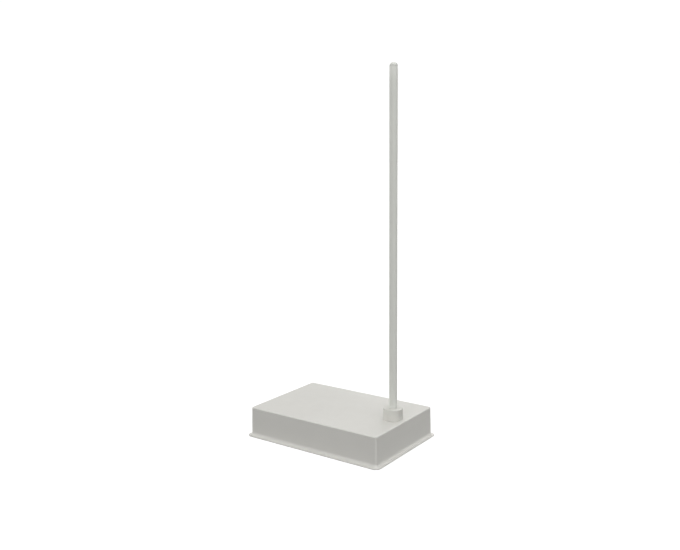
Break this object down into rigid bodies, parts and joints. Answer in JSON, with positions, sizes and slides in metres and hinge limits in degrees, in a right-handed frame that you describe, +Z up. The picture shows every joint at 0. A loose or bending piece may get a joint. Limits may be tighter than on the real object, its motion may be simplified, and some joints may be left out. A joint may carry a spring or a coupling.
{
  "type": "security gate",
  "caption": "Free-standing retail security gate pedestal: a low ballasted base under a moulded cover, with a collar that clamps a plug-in round aerial mast.",
  "frame": {"origin": "on the floor, under the middle of the base", "axes": "+X along the base towards the mast's end, +Y from the front of the base to its back, +Z up the mast"},
  "size_m": [0.513, 0.357, 1.179],
  "materials": {
    "cover_moulding": "moulded warm light grey ABS, satin, fine texture",
    "mast_finish": "glass-fibre tube, satin warm light grey",
    "collar_finish": "moulded nylon, satin warm light grey",
    "zinc_steel": "zinc plated",
    "cast_ballast": "as cast, painted dark grey",
    "cast_aluminium": "as cast, machined faces",
    "brass": "turned",
    "spring_steel": "black spring steel",
    "rubber": "matt",
    "natural_nylon": "natural nylon",
    "black_plastic": "black moulded",
    "circuit_board": "green solder mask",
    "capacitor_sleeve": "dark blue sleeve",
    "ferrite": "sintered, matt dark grey",
    "copper_winding": "enamelled copper",
    "lead_jacket": "PVC jacket"
  },
  "bodies": {
    "base": {"base_cover": "cover_moulding", "base_plate": "zinc_steel", "cover_catches": "zinc_steel", "catch_screws": "zinc_steel", "ballast_bolts": "zinc_steel", "socket_bolts": "zinc_steel", "foot_nuts": "zinc_steel", "board_screws": "zinc_steel", "module_screws": "zinc_steel", "terminal_screws": "zinc_steel", "sounder_screws": "zinc_steel", "earth_stud": "zinc_steel", "board_standoffs": "zinc_steel", "ballast_weights": "cast_ballast", "mast_socket": "cast_aluminium", "board_heat_sink": "cast_aluminium", "jack_contacts": "brass", "neck_seal": "rubber", "cable_grommet": "rubber", "mast_collet": "natural_nylon", "aerial_jack": "black_plastic", "board_chips": "black_plastic", "board_connectors": "black_plastic", "power_module": "black_plastic", "terminal_block": "black_plastic", "alarm_sounder": "black_plastic", "main_board": "circuit_board", "board_capacitors": "capacitor_sleeve", "board_inductors": "ferrite", "aerial_cable": "lead_jacket", "supply_cable": "lead_jacket", "low_voltage_cable": "lead_jacket", "sounder_cable": "lead_jacket"},
    "clamp_ring": {"thrust_ring": "brass"},
    "collar": {"collar_nut": "collar_finish", "ring_clip": "spring_steel"},
    "mast": {"mast_tube": "mast_finish", "mast_cap": "mast_finish", "mast_ferrule": "cast_aluminium", "mast_plug": "black_plastic", "plug_pins": "brass", "core_carrier": "natural_nylon", "ferrite_rods": "ferrite", "aerial_coils": "copper_winding", "mast_lead": "lead_jacket", "carrier_buffer": "rubber"},
    "foot_front_left": {"foot_pad_front_left": "rubber"},
    "stud_front_left": {"foot_stud_front_left": "zinc_steel"},
    "foot_front_right": {"foot_pad_front_right": "rubber"},
    "stud_front_right": {"foot_stud_front_right": "zinc_steel"},
    "foot_back_left": {"foot_pad_back_left": "rubber"},
    "stud_back_left": {"foot_stud_back_left": "zinc_steel"},
    "foot_back_right": {"foot_pad_back_right": "rubber"},
    "stud_back_right": {"foot_stud_back_right": "zinc_steel"}
  },
  "joints": [
    {"name": "mast_lift", "type": "slide", "parent": "base", "child": "mast", "axis": [0, 0, 1], "range_m": [0, 0.095]},
    {"name": "collar_rise", "type": "slide", "parent": "base", "child": "clamp_ring", "axis": [0, 0, 1], "range_m": [0, 0.02201]},
    {"name": "collar_turn", "type": "hinge", "parent": "clamp_ring", "child": "collar", "pos_m": [0.1995, 0, 0.1148], "axis": [0, 0, 1], "range_deg": [0, 3960]},
    {"name": "foot_drop_front_left", "type": "slide", "parent": "base", "child": "foot_front_left", "axis": [0, 0, -1], "range_m": [0, 0.01501]},
    {"name": "foot_turn_front_left", "type": "hinge", "parent": "foot_front_left", "child": "stud_front_left", "pos_m": [-0.20989, -0.13989, 0.006], "axis": [0, 0, -1], "range_deg": [0, 3600]},
    {"name": "foot_drop_front_right", "type": "slide", "parent": "base", "child": "foot_front_right", "axis": [0, 0, -1], "range_m": [0, 0.01501]},
    {"name": "foot_turn_front_right", "type": "hinge", "parent": "foot_front_right", "child": "stud_front_right", "pos_m": [0.20989, -0.13989, 0.006], "axis": [0, 0, -1], "range_deg": [0, 3600]},
    {"name": "foot_drop_back_left", "type": "slide", "parent": "base", "child": "foot_back_left", "axis": [0, 0, -1], "range_m": [0, 0.01501]},
    {"name": "foot_turn_back_left", "type": "hinge", "parent": "foot_back_left", "child": "stud_back_left", "pos_m": [-0.20989, 0.13989, 0.006], "axis": [0, 0, -1], "range_deg": [0, 3600]},
    {"name": "foot_drop_back_right", "type": "slide", "parent": "base", "child": "foot_back_right", "axis": [0, 0, -1], "range_m": [0, 0.01501]},
    {"name": "foot_turn_back_right", "type": "hinge", "parent": "foot_back_right", "child": "stud_back_right", "pos_m": [0.20989, 0.13989, 0.006], "axis": [0, 0, -1], "range_deg": [0, 3600]}
  ],
  "couplings": [
    {"joint": "collar_rise", "follows": "collar_turn", "m_per_rad": 0.00031831},
    {"joint": "foot_drop_front_left", "follows": "foot_turn_front_left", "m_per_rad": 0.00023873},
    {"joint": "foot_drop_front_right", "follows": "foot_turn_front_right", "m_per_rad": 0.00023873},
    {"joint": "foot_drop_back_left", "follows": "foot_turn_back_left", "m_per_rad": 0.00023873},
    {"joint": "foot_drop_back_right", "follows": "foot_turn_back_right", "m_per_rad": 0.00023873}
  ]
}
